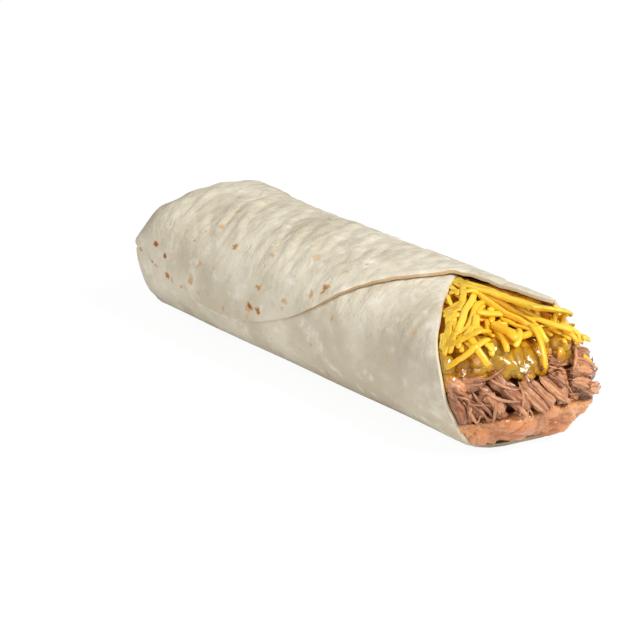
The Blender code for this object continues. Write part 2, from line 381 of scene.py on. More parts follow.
# Baked flour dough: cream, cloudy, dusted, with small rust-brown scorch spots, most of them
# along the flap's lower edge and towards the closed end. The key spots are placed one by one:
# (mm along the roll, angle, radius in mm, how dark).
SPOTS = (
    (-73, 69, 1.7, 1.0), (-67, 75, 1.3, 0.9), (-83, 66, 0.8, 0.7), (-82, 79, 0.9, 0.7), (-75, 84, 1.1, 0.8),
    (-73, 86, 1.0, 0.7), (-65, 89, 1.5, 0.8), (-62, 90, 1.0, 0.6), (-56, 92, 1.0, 0.6), (-50, 85, 1.8, 0.5),
    (-50, 82, 1.2, 0.4), (-45, 89, 1.3, 0.45), (-38, 94, 1.1, 0.75), (-30, 93, 1.3, 0.7), (-16, 85, 1.9, 1.0),
    (-11, 85, 1.6, 0.8), (-17, 91, 1.3, 0.5), (2, 70, 1.6, 0.45), (2, 76, 1.1, 0.4), (-33, 47, 1.6, 0.75),
    (-14, 42, 1.5, 0.6), (-13, 69, 1.5, 0.65), (-64, 33, 0.9, 0.4), (-61, 50, 1.0, 0.6), (-65, 56, 0.9, 0.5),
    (-52, 44, 0.9, 0.5), (-47, 36, 1.5, 0.5), (-45, 30, 1.2, 0.4), (-54, 55, 0.9, 0.6), (-48, 16, 1.6, 0.35),
    (-72, -1, 0.9, 0.5), (-17, -11, 1.1, 0.7), (-7, 3, 1.0, 0.6), (18, 49, 1.6, 0.8), (18, 53, 1.2, 0.7),
    (13, 58, 1.4, 0.5), (25, 19, 1.2, 0.45), (27, 23, 0.9, 0.4), (21, 32, 1.2, 0.6), (1, 22, 1.1, 0.4),
    (4, 29, 2.2, 0.3), (31, 20, 1.0, 0.5), (-38, 68, 1.0, 0.4), (42, 62, 0.9, 0.4), (15, 100, 0.9, 0.4),
    (34, 104, 0.9, 0.5), (-7, 101, 1.0, 0.45), (61, 112, 1.0, 0.4), (55, 60, 0.9, 0.35),
)
tortilla_finish = Finish("baked flour tortilla", Specular_IOR_Level=0.35)
f = tortilla_finish
where = f.place()
hoops = f.place((1.0, 0.40, 0.40))
clouds = f.noise(where, 34, 3, 0.55)
mottle = f.noise(where, 150, 3, 0.6)
flour = f.noise(where, 620, 3, 0.65)
colour = f.blend(srgb(221, 212, 191), srgb(197, 186, 162), f.ramp(clouds, 0.36, 0.66))
colour = f.blend(colour, srgb(233, 227, 211), f.ramp(mottle, 0.52, 0.72) * 0.65)
colour = f.blend(colour, srgb(186, 173, 146), f.ramp(mottle, 0.44, 0.26) * 0.50)
colour = f.blend(colour, srgb(180, 164, 136), f.ramp(flour, 0.58, 0.76) * 0.40)
height = f.axis(where, "Z")
# Painted shade: the sides near the mouth are blended greyer and darker, in patches, for the soft shadow that
# falls there.
near_mouth = f.ramp(f.axis(where, "X"), roll.x + 0.030, roll.x + 0.064)
mouth_shade = near_mouth * f.ramp(height, 0.048, 0.038) * f.ramp(height, 0.012, 0.026)
colour = f.blend(colour, srgb(182, 171, 152), mouth_shade * f.ramp(mottle, 0.3, 0.7, 0.65, 0.30))

# The spots' outlines are made ragged by shaking the place up to 1.6 mm each way.
SHAKE = 0.0016
sway = f.node("ShaderNodeTexNoise", {}, {"Vector": where, "Scale": 560.0, "Detail": 2.0}, "Color")
level = f.node("ShaderNodeMapping", {}, {"Vector": where, "Location": (-SHAKE, -SHAKE, -SHAKE)})
added = {0: sway, 1: (2 * SHAKE, 2 * SHAKE, 2 * SHAKE), 2: level}
shaken = f.node("ShaderNodeVectorMath", {"operation": "MULTIPLY_ADD"}, added)
key_spots = 0.0
for x, degrees, radius, dark in SPOTS:
    reach = 1 + (x / 1000 - shoulder_x(degrees)) / REACH_UNIT
    if reach < 1:
        reach = max(range(100), key=lambda k: -abs(wall_point(degrees, k / 100).x - x / 1000)) / 100
    lies = off_wall(degrees, reach, 2 * SHEET) + roll
    spot = f.ramp(f.distance(shaken, lies), radius * 0.00135, radius * 0.00045) * dark
    key_spots = spot.or_more(key_spots)
chance = f.node("ShaderNodeSeparateColor", {}, {"Color": f.cells(shaken, 210, "Color")}, "Red")
freckles = f.ramp(f.cells(shaken, 210), 0.34, 0.14) * f.ramp(chance, 0.90, 0.93)
freckles = freckles * f.ramp(clouds, 0.40, 0.60)
toast = key_spots.or_more(freckles * 0.5)
colour = f.blend(colour, srgb(207, 168, 122), f.ramp(toast, 0.05, 0.45) * 0.9)
colour = f.blend(colour, srgb(160, 92, 48), f.ramp(toast, 0.40, 0.95))
dimples = f.noise(where, 260, 3, 0.55)
creases = f.noise(hoops, 380, 3, 0.6, 0.6)
on_top = f.ramp(height, 0.028, 0.046, 0.05, 1.0)
on_top = on_top * f.ramp(f.noise(where, 60, 2, 0.5), 0.36, 0.60, 0.15, 1.0)
surface = f.bump(flour, 0.00022, 0.9)
surface = f.bump(dimples, 0.00050, 0.7, surface)
surface = f.bump(creases * on_top, 0.0011, 0.75, surface)
surface = f.bump(toast, 0.00020, 0.5, surface)
f.set(Base_Color=colour, Roughness=f.ramp(mottle, 0.3, 0.7, 0.58, 0.76), Normal=surface)

# The sheet's cut edge is plain pale dough, but along the flap's edge it is tan: partly the toast of the baked
# edge, partly a painted shadow line under the flap.
edge_finish = Finish("tortilla's cut edge", Roughness=0.7, Specular_IOR_Level=0.3)
f = edge_finish
where = f.place()
along = f.axis(where, "X")
# Painted shade in part: this tan mask along the flap's edge also stands for the shadow line beneath the flap.
edge_toast_and_shade = f.ramp(along, roll.x - 0.030, roll.x + 0.010)
edge_toast_and_shade = edge_toast_and_shade * f.ramp(along, roll.x + 0.060, roll.x + 0.048, 0.25, 1.0)
edge_toast_and_shade = edge_toast_and_shade * f.ramp(f.attribute("flap"), 0.6, 0.95)
edge_toast_and_shade = edge_toast_and_shade * f.ramp(f.noise(where, 130, 3, 0.6), 0.25, 0.5, 0.40, 0.80)
colour = f.blend(srgb(216, 205, 180), srgb(192, 150, 102), edge_toast_and_shade)
f.set(Base_Color=colour, Normal=f.bump(f.noise(where, 620, 3, 0.6), 0.0002, 0.6))

tortilla = finish_piece(shape, "rolled_tortilla", tortilla_finish, "tortilla")
tortilla.vertex_groups.new(name="thickness")
walls = tortilla.modifiers.new("thickness", "SOLIDIFY")
walls.thickness = SHEET
walls.offset = 1.0
walls.use_even_offset = False
walls.vertex_group = "thickness"
walls.material_offset_rim = 1
tortilla.data.materials.append(edge_finish.material)
rounding = tortilla.modifiers.new("rounded edge", "BEVEL")
rounding.width = 0.00035
rounding.segments = 2
rounding.limit_method = "ANGLE"
rounding.angle_limit = math.radians(60)


# The filling's face: each layer runs the length of the roll and shows in the mouth, where the
# filling bulges out of the tortilla. These give the bulge's shape and the heights of the layers.
FACE_CENTRE = Vector((0.1020, 0.0060, 0.0225))
FACE_FLATNESS = 2.4
FACE_FLATTER_AT_FAR_SIDE = 3.6
FACE_SETBACK = 0.0012
HEAP_FROM_Z = 0.030
HEAP_RISE = 0.015
HEAP_PROUD = 0.0040
LAYER_TOPS = {
    "refried_beans": (0.0170, 0.0025, 0.0035),
    "shredded_beef": (0.0305, 0.0035, 0.0030),
    "green_chile": (0.0395, 0.0015, 0.0090),
}


def mouth_x(degrees):
    """The edge of the opening: the flap's edge over the top, then the rim of the sheet."""
    over_top = [(angle, x) for x, angle in reversed(FLAP_EDGE) if angle < RIM_CORNER]
    outline = [*over_top, *[point for point in RIM if point[0] >= RIM_CORNER]]
    return curve_through(outline, degrees - 360 if degrees > outline[-1][0] else degrees)


wall_round = []
for step in range(720):
    y, z = section(step / 2)
    turn = math.atan2(z - FACE_CENTRE.z, y - FACE_CENTRE.y)
    out = math.hypot(z - FACE_CENTRE.z, y - FACE_CENTRE.y)
    wall_round.append((turn, out, mouth_x(step / 2) - FACE_SETBACK, y, z))
wall_round.sort()
wall_turns = [row[0] for row in wall_round]


def wall_towards(y, z):
    """The wall's distance from the face's middle, its mouth's x, y and z, towards a point."""
    turn = math.atan2(z - FACE_CENTRE.z, y - FACE_CENTRE.y)
    i = bisect.bisect(wall_turns, turn) % len(wall_round)
    after, before = wall_round[i], wall_round[i - 1]
    gap = (after[0] - before[0]) % math.tau or 1.0
    t = ((turn - before[0]) % math.tau) / gap
    return [a + (b - a) * t for a, b in zip(before[1:], after[1:])]


def face_x(y, z):
    """How far along the roll the filling's face is at a point of the cross-section."""
    out, edge_x, edge_y, edge_z = wall_towards(y, z)
    spread = min(1.0, math.hypot(z - FACE_CENTRE.z, y - FACE_CENTRE.y) / out)
    side = max(0.0, edge_y / INNER_HALF_WIDTH)
    top = smooth_step((edge_z - HEAP_FROM_Z) / HEAP_RISE)
    flatness = FACE_FLATNESS + FACE_FLATTER_AT_FAR_SIDE * side * (1 - top)
    heap = smooth_step((z - HEAP_FROM_Z) / HEAP_RISE)
    x = FACE_CENTRE.x + (edge_x - FACE_CENTRE.x) * spread**flatness
    return x + math.sin(math.pi * spread) * HEAP_PROUD * heap


def behind_face(point):
    """How far behind the filling's face a point of the scene lies."""
    return face_x(point.y - roll.y, point.z - roll.z) - (point.x - roll.x)


def with_normals(shape):
    """The shape's points, each with the normal that it has before any of them moves."""
    shape.normal_update()
    return [(vert, vert.normal.copy()) for vert in shape.verts]


def layer_top(name, y):
    """The height of a layer's top, which falls towards both sides."""
    middle, near_fall, far_fall = LAYER_TOPS[name]
    side = y / INNER_HALF_WIDTH
    return middle - (near_fall if y < 0 else far_fall) * side * side


def wall_heights(y):
    """The inner wall's lowest and highest z at a distance across."""
    share = min(1.0, abs(y) / INNER_HALF_WIDTH)
    bottom = FLOOR_Z - SAG
    half = (INNER_TOP - bottom) / 2
    low = bottom + half - half * (1 - share**BOTTOM_FULLNESS) ** (1 / BOTTOM_FULLNESS)
    high = bottom + half + half * (1 - share**TOP_FULLNESS) ** (1 / TOP_FULLNESS)
    return max(low, FLOOR_Z), high


CORE_GAP = 0.0004
CORE_BACK_SHARE = 0.60
CORE_END_SLACK = 0.03


def make_core(below, above, cells, setback):
    """A layer's solid inside: a block of cells pushed out to the walls, the face and its neighbours."""
    shape = bmesh.new()
    bmesh.ops.create_cube(shape, size=1.0)
    for axis, count in enumerate(cells):
        cut = [e for e in shape.edges if abs(e.verts[0].co[axis] - e.verts[1].co[axis]) > 1e-6]
        bmesh.ops.subdivide_edges(shape, edges=cut, cuts=count - 1, use_grid_fill=True)
    widest = {-1: 0.0, 1: 0.0}
    for side in widest:
        for step in range(400):
            y = side * INNER_HALF_WIDTH * step / 400
            low, high = wall_heights(y)
            bottom = max(low, layer_top(below, y)) if below else low
            roof = min(high, layer_top(above, y)) if above else high
            if roof - bottom > 0.0012:
                widest[side] = INNER_HALF_WIDTH * step / 400 - CORE_GAP
    for vert in shape.verts:
        along, across, up = vert.co.x + 0.5, 2 * vert.co.y, vert.co.z + 0.5
        y = math.sin(across * math.pi / 2) * widest[1 if across > 0 else -1]
        low, high = wall_heights(y)
        bottom = (max(low, layer_top(below, y)) if below else low) + CORE_GAP
        roof = (min(high, layer_top(above, y)) if above else high) - CORE_GAP
        z = bottom + (roof - bottom) * up
        slope = (face_x(y, z + 0.0005) - face_x(y, z - 0.0005)) / 0.001
        front = face_x(y, z) - setback * min(3.0, math.hypot(1, slope))

        # The back end narrows as the closed end does, and stops short of the crease.
        shoulder = SHOULDER_X + SHOULDER_TOP_LEAN * (z / 0.024 - 1)
        shoulder += SHOULDER_SIDE_LEAN * y / INNER_HALF_WIDTH
        crease = CREASE_X + 2 * SHEET + CREASE_SLANT * (y + INNER_HALF_WIDTH)
        back = shoulder - (shoulder - crease) * CORE_BACK_SHARE
        x = back + (front - back) * along**0.6
        into_cap = min(0.9, max(0.0, (shoulder - x) / (shoulder - crease)))
        squeeze = math.sqrt(1 - into_cap**2)
        squeeze -= CORE_END_SLACK * smooth_step((shoulder + 0.012 - x) / 0.012)
        z = CREASE_Z + (z - CREASE_Z) * squeeze
        vert.co = Vector((x, y, z)) + roll
    bmesh.ops.recalc_face_normals(shape, faces=shape.faces)
    return shape


def make_guide(setback_at):
    """The filling's whole face, set back by an amount that may vary, for things to be laid on."""
    shape = bmesh.new()
    bmesh.ops.create_grid(shape, x_segments=120, y_segments=44, size=0.5)
    for vert in shape.verts:
        degrees, spread = (vert.co.x + 0.5) * 360, max(0.004, vert.co.y + 0.5)
        y, z = section(degrees)
        y = FACE_CENTRE.y + (y - FACE_CENTRE.y) * spread
        z = FACE_CENTRE.z + (z - FACE_CENTRE.z) * spread
        vert.co = Vector((face_x(y, z), y, z))
    bmesh.ops.remove_doubles(shape, verts=shape.verts, dist=0.00002)
    bmesh.ops.recalc_face_normals(shape, faces=shape.faces)
    shape.normal_update()
    if sum(face.normal.x for face in shape.faces) < 0:
        bmesh.ops.reverse_faces(shape, faces=shape.faces)
    for vert, normal in with_normals(shape):
        out = wall_towards(vert.co.y, vert.co.z)[0]
        inside = 1 - math.hypot(vert.co.z - FACE_CENTRE.z, vert.co.y - FACE_CENTRE.y) / out
        near_wall = 0.15 + 0.85 * smooth_step(inside / 0.12)
        vert.co += roll - normal * setback_at(vert.co.y, vert.co.z) * near_wall
    shape.normal_update()
    shape.faces.ensure_lookup_table()
    return shape


# Refried beans: the lowest layer, a moist tan paste with a coarse mash's ridges and lumps, and
# whole or split beans half sunk in its face. It is spread first, so it takes the roll's floor.
def bean_relief(point):
    lumps = bumpy(point.x, point.y, point.z, 0.0065, 11.0)
    ridges = 1 - abs(bumpy(point.x, point.y, point.z, 0.0042, 4.0))
    grain = bumpy(point.x, point.y, point.z, 0.0016, 9.0)
    return 0.0011 * lumps + 0.0011 * ridges + 0.00060 * grain


shape = make_core(None, "refried_beans", (16, 150, 46), -0.0003)
for vert, normal in with_normals(shape):
    depth = behind_face(vert.co)
    inside = smooth_step((vert.co.z - FLOOR_Z - 0.0006) / 0.0045)
    vert.co += normal * bean_relief(vert.co) * smooth_step((0.009 - depth) / 0.006) * inside
    bulge = smooth_step((vert.co.y - roll.y) / 0.018) * smooth_step((vert.co.z - 0.003) / 0.004)
    vert.co.x += 0.0020 * bulge * smooth_step((0.003 - depth) / 0.002)

bean_finish = Finish("refried bean paste", Roughness=0.40, Coat_Weight=0.55, Coat_Roughness=0.16)
f = bean_finish
where = f.place()
patches = f.noise(where, 150, 3, 0.6)
specks = f.noise(where, 700, 3, 0.6)
skins = f.cells(where, 260)
colour = f.blend(srgb(222, 158, 102), srgb(190, 120, 68), f.ramp(patches, 0.36, 0.64))
colour = f.blend(colour, srgb(160, 88, 46), f.ramp(specks, 0.58, 0.76) * 0.6)
colour = f.blend(colour, srgb(234, 178, 124), f.ramp(specks, 0.42, 0.26) * 0.6)
colour = f.blend(colour, srgb(150, 72, 38), f.ramp(skins, 0.20, 0.10) * 0.5)
surface = f.bump(specks, 0.00050, 0.9)
surface = f.bump(f.noise(where, 330, 3, 0.55), 0.0011, 0.9, surface)
f.set(Base_Color=colour, Roughness=f.ramp(patches, 0.3, 0.7, 0.30, 0.55), Normal=surface)
finish_piece(shape, "refried_bean_paste", bean_finish, "refried_beans")


def surface_spots(guide, allowed, count):
    """Random places on the guide's faces where the rule allows them, with their normals."""
    faces = [face for face in guide.faces if allowed(face.calc_center_median() - roll)]
    chosen = random.choices(faces, weights=[face.calc_area() for face in faces], k=count)
    return [(face.calc_center_median(), face.normal.copy()) for face in chosen]


def keep_in(place, half):
    """The place, moved in towards the face's middle where it would go through the tortilla."""
    y, z = place.y - roll.y, place.z - roll.z
    out, edge_x, _, _ = wall_towards(y, z)
    under_flap = (SHEET + FLAP_GAP) * smooth_step((y + 0.006) / 0.004) * smooth_step((z - 0.036) / 0.004)
    most = out - (half if place.x - roll.x < edge_x + 0.0015 else 0.3 * half) + 0.8 * under_flap
    here = math.hypot(z - FACE_CENTRE.z, y - FACE_CENTRE.y)
    if here <= most:
        return place
    y = FACE_CENTRE.y + (y - FACE_CENTRE.y) * most / here
    z = FACE_CENTRE.z + (z - FACE_CENTRE.z) * most / here
    return Vector((place.x, y + roll.y, z + roll.z))


def add_lump(shape, place, normal, size, turn, roughness, seed, layer, tint, bend):
    """A rounded lump lying on a face: its size is along, across and out of the face."""
    made = bmesh.ops.create_icosphere(shape, subdivisions=3, radius=1.0)["verts"]
    along = Quaternion(normal, turn) @ normal.orthogonal().normalized()
    across = normal.cross(along)
    for vert in made:
        p = vert.co.copy()
        swell = 1 + roughness * bumpy(p.x, p.y, p.z, 0.9, seed)
        p = Vector([math.copysign(abs(c) ** 0.85, c) * swell * s for c, s in zip(p, size)])
        p.z += bend * (p.x / size[0]) ** 2 * size[2]
        vert.co = keep_in(place + along * p.x + across * p.y + normal * p.z, 0.0004)
        vert[layer] = tint


def in_bean_face(p):
    return 0.005 < p.z < layer_top("refried_beans", p.y) - 0.001


random.seed(21)
guide = make_guide(lambda y, z: -0.0004)
shape = bmesh.new()
shade = shape.verts.layers.float.new("shade")
for place, normal in surface_spots(guide, in_bean_face, 17):
    whole = random.random() < 0.7
    size = random.uniform(0.0042, 0.0056) if whole else random.uniform(0.0016, 0.0030)
    flat = (size, size * random.uniform(0.55, 0.7), size * random.uniform(0.42, 0.6))
    sunk = place - normal * flat[2] * random.uniform(0.05, 0.45)
    add_lump(shape, sunk, normal, flat, random.uniform(0, math.tau), 0.24, random.uniform(0, 50),
             shade, random.random(), -0.35)
bmesh.ops.recalc_face_normals(shape, faces=shape.faces)
whole_finish = Finish("whole bean skin", Roughness=0.34, Coat_Weight=0.35, Coat_Roughness=0.15)
f = whole_finish
where = f.place()
colour = f.blend(srgb(226, 156, 100), srgb(186, 108, 58), f.ramp(f.attribute("shade"), 0.1, 0.9))
colour = f.blend(colour, srgb(136, 74, 40), f.ramp(f.noise(where, 520, 3, 0.6), 0.56, 0.74) * 0.6)
surface = f.bump(f.noise(where, 420, 3, 0.6), 0.00045, 0.7)
f.set(Base_Color=colour, Normal=surface)
finish_piece(shape, "whole_beans", whole_finish)


# Shredded beef: braised beef pulled into fibrous shreds, heaped on the beans. The core is the
# packed meat behind, and each shred is a ribbed strand, ragged where it tore.
def add_strand(shape, line, normals, width, thickness, rings, sides, layers, end, ribs, fray=0.0, boxy=0.7):
    """A closed strand along a line: ribs groove it lengthways, and fray makes its ends ragged."""
    made = bmesh.ops.create_uvsphere(shape, u_segments=sides, v_segments=rings, radius=1.0)["verts"]
    shade, fibre = layers
    tint, seed = random.random(), random.uniform(0, 60)
    for vert in made:
        ring = math.acos(max(-1.0, min(1.0, vert.co.z))) / math.pi * rings
        turn = math.atan2(vert.co.y, vert.co.x)
        c, s = math.cos(turn), math.sin(turn)
        pole = ring < 0.5 or ring > rings - 0.5
        share = min(1.0, max(0.0, (ring - 0.7) / (rings - 1.4)))
        to_end = min(ring, rings - ring)
        rag = fray * noise.noise(Vector((c * 2.4, s * 2.4, seed))) * (2 * share - 1) * abs(2 * share - 1)
        at = (share + (0 if pole else rag)) * (len(line) - 1)
        i = max(0, min(int(at), len(line) - 2))
        place = line[i].lerp(line[i + 1], at - i)
        normal = normals[i].lerp(normals[i + 1], at - i)
        ahead = (line[min(i + 2, len(line) - 1)] - line[max(i - 1, 0)]).normalized()
        across = ahead.cross(normal).normalized()
        normal = across.cross(ahead).normalized()
        full = 0.0 if pole else end if to_end < 1.5 else (1 + end) / 2 if to_end < 2.5 else 1.0
        groove = 1 + ribs * noise.noise(Vector((c * 2.2, s * 2.2, seed + share * 1.3)))
        groove += 0.7 * ribs * noise.noise(Vector((c * 6, s * 6, seed - share * 1.5)))
        if fray:
            full *= 0.76 + 0.26 * math.sin(math.pi * share ** (0.6 + 0.8 * tint))
        side = math.copysign(abs(c) ** boxy, c) * width / 2 * full * groove
        rise = math.copysign(abs(s) ** boxy, s) * thickness / 2 * full * groove
        vert.co = keep_in(place + across * side + normal * rise, 0.0004)
        vert[shade] = tint
        vert[fibre] = Vector((c * width, s * width, share * 0.02 + seed))


PILE_CELL = 0.0010


def rest_line(places, normals, thickness, pile, ceiling, ease, lift, half):
    """Raises a line of places on what is piled there already, unless it would top the ceiling."""
    reach = [(a, b, c) for a in (-1, 0, 1) for b in (-1, 0, 1) for c in (-1, 0, 1)]
    count = len(places)
    keys = [[round(value / PILE_CELL) for value in place] for place in places]
    raised = [max(pile.get((k[0] + a, k[1] + b, k[2] + c), 0.0) for a, b, c in reach) for k in keys]
    steps = [(places[min(i + 1, count - 1)] - places[i]).length for i in range(count)]
    step = sum(steps) / (count - 1)
    held = [max(raised[j] - abs(i - j) * step * ease for j in range(count)) for i in range(count)]
    held = [(held[max(i - 1, 0)] + 2 * h + held[min(i + 1, count - 1)]) / 4 for i, h in enumerate(held)]
    if max(held) + thickness > ceiling:
        return None
    for key, height in zip(keys, held):
        pile[tuple(key)] = max(pile.get(tuple(key), 0.0), height + thickness * 0.75)
    line = []
    for i, (place, normal, height) in enumerate(zip(places, normals, held)):
        tip = max(0.0, i / (count - 1) - 0.4) ** 2 * lift
        line.append(keep_in(place + normal * (height + thickness / 2 + tip), half))
    return line, normals


def lay_line(guide, start, turn, length, bend, thickness, pile, ceiling, allowed, steps, ease, lift):
    """A line over the guide from a place, turned from straight up, while it's still allowed."""
    place, normal, _, _ = guide.find_nearest(start)
    heading = Quaternion(normal, turn) @ (Vector((0, 0, 1)) - normal * normal.z).normalized()
    step = length / steps
    places, normals = [], []
    for _ in range(steps + 1):
        places.append(place)
        normals.append(normal)
        heading = (heading - normal * heading.dot(normal)).normalized()
        heading = Quaternion(normal, bend / steps) @ heading
        place, normal, _, gap = guide.find_nearest(place + heading * step)
        if gap > 0.45 * step or not allowed(place - roll):
            break
    if len(places) < 5:
        return None
    return rest_line(places, normals, thickness, pile, ceiling, ease, lift, thickness * 0.6)


def smooth_between(a, b, c, d, t):
    """A smooth curve's value between b and c, when a comes before them and d after."""
    bend = (2 * a - 5 * b + 4 * c - d) * t * t + (3 * b - a - 3 * c + d) * t**3
    return (2 * b + (c - a) * t + bend) / 2


def lay_through(guide, points, thickness, pile, ease=0.3, steps=12):
    """A line laid on the pile through points of the face, each given as its y and z in mm."""
    places, normals = [], []
    for i in range(steps + 1):
        at = i / steps * (len(points) - 1)
        k = min(int(at), len(points) - 2)
        ends = [points[max(k - 1, 0)], points[k], points[k + 1], points[min(k + 2, len(points) - 1)]]
        y, z = [smooth_between(*four, at - k) / 1000 for four in zip(*ends)]
        place, normal, _, _ = guide.find_nearest(Vector((face_x(y, z), y, z)) + roll)
        places.append(place)
        normals.append(normal)
    return rest_line(places, normals, thickness, pile, 1.0, ease, 0.0, thickness * 0.6)


shape = make_core("refried_beans", "shredded_beef", (12, 90, 30), 0.0042)
for vert, normal in with_normals(shape):
    shown = smooth_step((0.012 - behind_face(vert.co)) / 0.006)
    slanted = Vector((vert.co.x, vert.co.y * 0.6 + vert.co.z * 0.6, 0))
    vert.co += normal * 0.0012 * bumpy(*slanted, 0.003, 6.0) * shown
beef_finish = Finish("braised beef", Roughness=0.34, Coat_Weight=0.60, Coat_Roughness=0.16)
f = beef_finish
fibre = f.attribute("fibre", "Vector")
drawn_out = f.node("ShaderNodeMapping", {}, {"Vector": fibre, "Scale": (1.0, 1.0, 0.16)})
strings = f.noise(drawn_out, 1500, 3, 0.6)
patches = f.noise(f.place(), 190, 3, 0.6)
tint = f.attribute("shade")
colour = f.blend(srgb(222, 156, 108), srgb(170, 106, 66), f.ramp(tint, 0.0, 1.0))
colour = f.blend(colour, srgb(132, 70, 38), f.ramp(strings, 0.52, 0.68) * 0.70)
colour = f.blend(colour, srgb(222, 170, 124), f.ramp(strings, 0.46, 0.34) * 0.7)
colour = f.blend(colour, srgb(128, 62, 34), f.ramp(patches, 0.56, 0.74) * 0.5)
surface = f.bump(strings, 0.00060, 0.9)
surface = f.bump(patches, 0.00060, 0.5, surface)
f.set(Base_Color=colour, Roughness=f.ramp(patches, 0.3, 0.7, 0.28, 0.50), Normal=surface)
# Painted shade: the beef packed behind the shreds is coloured far darker than the shreds, for the shade in
# the gaps between them.
shaded_beef_finish = Finish("beef behind the shreds in painted shade", Roughness=0.45, Coat_Weight=0.2, Coat_Roughness=0.25)
f = shaded_beef_finish
patches = f.noise(f.place(), 260, 4, 0.6)
colour = f.blend(srgb(120, 62, 36), srgb(76, 34, 18), f.ramp(patches, 0.36, 0.64))
f.set(Base_Color=colour, Normal=f.bump(patches, 0.0009, 0.8))
finish_piece(shape, "packed_beef", shaded_beef_finish, "shredded_beef")

COARSE_SHREDS = 150
FINE_SHREDS = 150

# The shreds that show most, each by the y and z in mm that it passes through, and its width
BEEF_ON_TOP = (
    (((-10, 28), (-6, 24), (-2, 19)), 0.0050), (((-2, 29), (2, 25), (6, 20)), 0.0046),
    (((1, 29.5), (6, 25), (9, 21)), 0.0030), (((-7, 29), (-3, 24), (0, 20)), 0.0030),
    (((-4, 29), (2, 23), (8, 19)), 0.0018), (((-15, 28), (-11, 23), (-10, 18)), 0.0040),
    (((5, 30), (11, 28), (16, 22)), 0.0026), (((11, 28), (16, 27), (21, 24)), 0.0046),
    (((10, 26), (14, 24), (19, 20)), 0.0036), (((16, 22), (20, 20), (23, 19)), 0.0040),
    (((-20, 26), (-17, 20)), 0.0046),
)


def beef_setback(y, z):
    return 0.0034 - 0.0034 * smooth_step((layer_top("refried_beans", y) + 0.001 - z) / 0.004)


guide = make_guide(beef_setback)
tree = BVHTree.FromBMesh(guide)
pile = {}
shape = bmesh.new()
layers = shape.verts.layers.float.new("shade"), shape.verts.layers.float_vector.new("fibre")


def in_beef(p):
    return layer_top("refried_beans", p.y) + 0.004 < p.z < layer_top("shredded_beef", p.y) + 0.001


random.seed(5)
spots = surface_spots(guide, in_beef, COARSE_SHREDS + FINE_SHREDS)
for index, (place, _) in enumerate(spots):
    coarse = index < COARSE_SHREDS
    if index == COARSE_SHREDS:
        for points, width in BEEF_ON_TOP:
            laid = lay_through(tree, points, width * 0.5, pile, 0.5)
            add_strand(shape, *laid, width, width * 0.5, 18, 28, layers, 0.62, 1.0, 0.26, 1.0)
    width = random.uniform(0.0026, 0.0054) if coarse else random.uniform(0.0009, 0.0016)
    thickness = width * random.uniform(0.45, 0.65)
    turn = math.radians(-random.gauss(136, 22))
    below = random.uniform(-0.001, 0.002)
    length = random.uniform(0.010, 0.016)
    bend = random.gauss(0, 0.7)
    laid = lay_line(tree, place + Vector((0, -0.002, 0.001)), turn, length, bend, thickness, pile,
                    0.0050 if coarse else 0.0068,
                    lambda p: p.y < 0.0245 and p.z > layer_top("refried_beans", p.y) - below,
                    9, 0.5, random.choice((0, 0, 0.001, 0.002)))
    if laid and coarse:
        add_strand(shape, *laid, width, thickness, 16, 24, layers, 0.62, 0.95, 0.26, 1.0)
    elif laid:
        add_strand(shape, *laid, width, thickness, 10, 8, layers, 0.5, 0.3, 0.10, 1.0)
bmesh.ops.recalc_face_normals(shape, faces=shape.faces)
finish_piece(shape, "beef_shreds", beef_finish)


# Green chile: roasted chile, peeled and diced, in its own thick sauce, spooned over the beef.
# The pieces are soft, half see-through and wet, and the sauce fills round them.
def chile_zone(p):
    return layer_top("shredded_beef", p.y) < p.z < layer_top("green_chile", p.y) - 0.0010


shape = make_core("shredded_beef", "green_chile", (12, 100, 24), 0.0030)
for vert, normal in with_normals(shape):
    shown = smooth_step((0.012 - behind_face(vert.co)) / 0.006)
    vert.co += normal * 0.0009 * bumpy(*vert.co, 0.0035, 2.0) * shown
chile_finish = Finish(
    "stewed green chile", Roughness=0.12, Coat_Weight=0.6, Coat_Roughness=0.05,
    Subsurface_Weight=0.35, Subsurface_Radius=(0.004, 0.0025, 0.0006), Subsurface_Scale=1.0,
)
f = chile_finish
where = f.place()
patches = f.noise(where, 170, 3, 0.6)
veins = f.noise(where, 520, 3, 0.6)
colour = f.blend(srgb(222, 162, 36), srgb(172, 112, 20), f.ramp(patches, 0.36, 0.66))
colour = f.blend(colour, srgb(238, 188, 66), f.ramp(veins, 0.56, 0.74) * 0.7)
colour = f.blend(colour, srgb(158, 122, 26), f.ramp(f.attribute("shade"), 0.4, 1.0) * 0.6)
surface = f.bump(f.noise(where, 300, 2, 0.5), 0.0008, 0.7)
surface = f.bump(veins, 0.00025, 0.5, surface)
f.set(Base_Color=colour, Roughness=f.ramp(veins, 0.3, 0.7, 0.08, 0.24), Normal=surface)
finish_piece(shape, "chile_sauce", chile_finish, "green_chile")

random.seed(8)
guide = make_guide(lambda y, z: 0.0030)
shape = bmesh.new()
shade = shape.verts.layers.float.new("shade")
for place, normal in surface_spots(guide, chile_zone, 40):
    long = random.uniform(0.0030, 0.0058)
    flat = (long, long * random.uniform(0.55, 0.85), long * random.uniform(0.30, 0.45))
    proud = place + normal * random.uniform(0.0, 0.0012)
    add_lump(shape, proud, normal, flat, random.uniform(0, math.tau), 0.22, random.uniform(0, 50),
             shade, random.random(), random.uniform(-0.8, 0.2))
bmesh.ops.recalc_face_normals(shape, faces=shape.faces)
finish_piece(shape, "chile_pieces", chile_finish)


# Shredded cheese: orange-yellow cheese from a coarse grater, dropped on last in a loose heap.
# Each shred is a waxy strand about 2 mm wide, and some hang down over the chile.
def cheese_setback(y, z):
    over = layer_top("green_chile", y) + 0.003 - z
    return 0.0030 - 0.0036 * smooth_step(over / 0.004)


